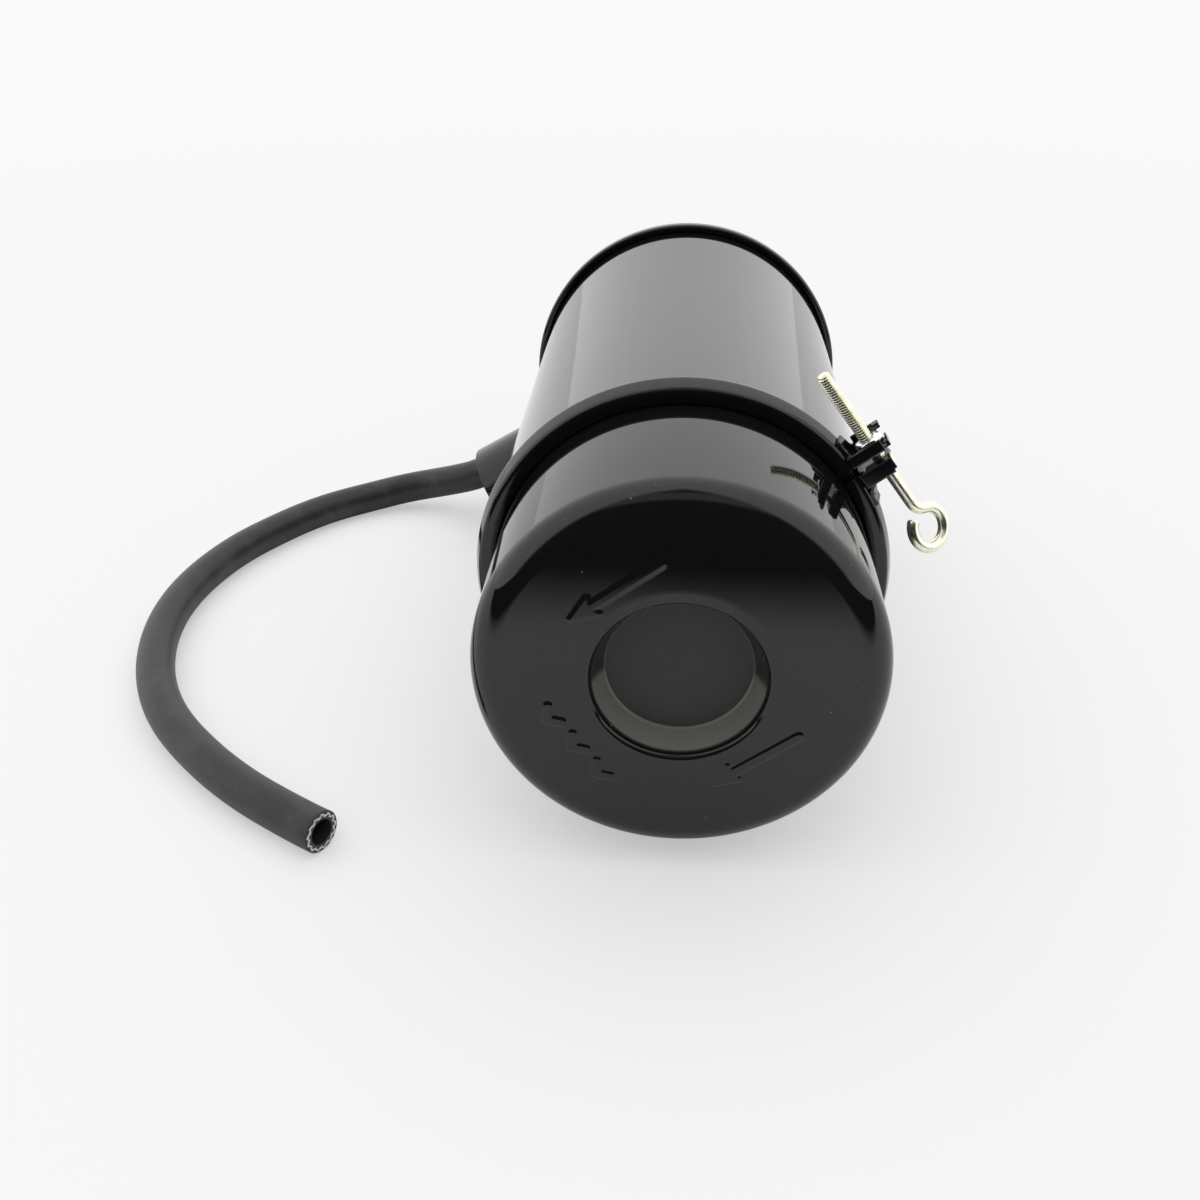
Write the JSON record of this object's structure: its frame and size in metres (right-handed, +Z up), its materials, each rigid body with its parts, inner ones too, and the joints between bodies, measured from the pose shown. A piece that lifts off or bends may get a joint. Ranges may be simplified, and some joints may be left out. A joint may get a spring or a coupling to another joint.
{
  "type": "air cleaner canister",
  "caption": "Dry air cleaner canister lying on its side: round barrel, clamped service cup, side inlet with a loose hose, rear outlet tube and an inner filter element.",
  "frame": {"origin": "centre of the outlet tube's mouth", "axes": "+Y along the canister's axis, out of the outlet; -Y towards the service cup; +Z up as the canister lies; the inlet points to -X and below the horizontal"},
  "size_m": [0.4434, 0.4392, 0.2063],
  "materials": {
    "enamel": "gloss black stoved enamel on pressed steel",
    "zinc": "bluish white zinc plate",
    "yellow_zinc": "pale yellow zinc plate",
    "rubber": "matte moulded rubber",
    "tinned_steel": "dull tin plate",
    "filter_paper": "resin-treated pleated paper",
    "vane_plastic": "matte moulded plastic",
    "hose_rubber": "matte dark rubber with scuffs, braid seen at the cut end"
  },
  "bodies": {
    "root": {"body_shell": "enamel", "rear_head": "enamel", "outlet_tube": "enamel", "inlet_tube": "enamel", "joint_gasket": "rubber", "clamp_band": "enamel", "nut_ear": "enamel", "clamp_nut": "zinc", "air_hose": "hose_rubber"},
    "clamp_end": {"bolt_ear": "enamel"},
    "clamp_bolt": {"eye_bolt": "yellow_zinc", "bolt_collar": "yellow_zinc"},
    "service_cup": {"dust_cup": "enamel", "cup_baffle": "enamel", "cup_pad": "rubber"},
    "filter_element": {"outer_liner": "tinned_steel", "paper_media": "filter_paper", "inner_liner": "tinned_steel", "open_cap": "tinned_steel", "closed_cap": "tinned_steel", "element_seal": "rubber", "vane_sleeve": "vane_plastic"}
  },
  "joints": [
    {"name": "clamp_opening", "type": "slide", "parent": "root", "child": "clamp_end", "axis": [0.6088, 0, -0.7934], "range_m": [0, 0.03], "deforming": ["clamp_band"]},
    {"name": "eye_bolt_turn", "type": "hinge", "parent": "clamp_end", "child": "clamp_bolt", "pos_m": [0.08696, -0.3365, 0.06673], "axis": [0.6088, 0, -0.7934], "range_deg": [0, 8504]},
    {"name": "cup_slide", "type": "slide", "parent": "root", "child": "service_cup", "axis": [0, -1, 0], "range_m": [0, 0.4]},
    {"name": "element_slide", "type": "slide", "parent": "root", "child": "filter_element", "axis": [0, -1, 0], "range_m": [0, 0.3]}
  ],
  "couplings": [
    {"joint": "eye_bolt_turn", "follows": "clamp_opening", "rad_per_m": 4947.4},
    {"joint": "element_slide", "follows": "cup_slide", "ratio": 0.75}
  ]
}
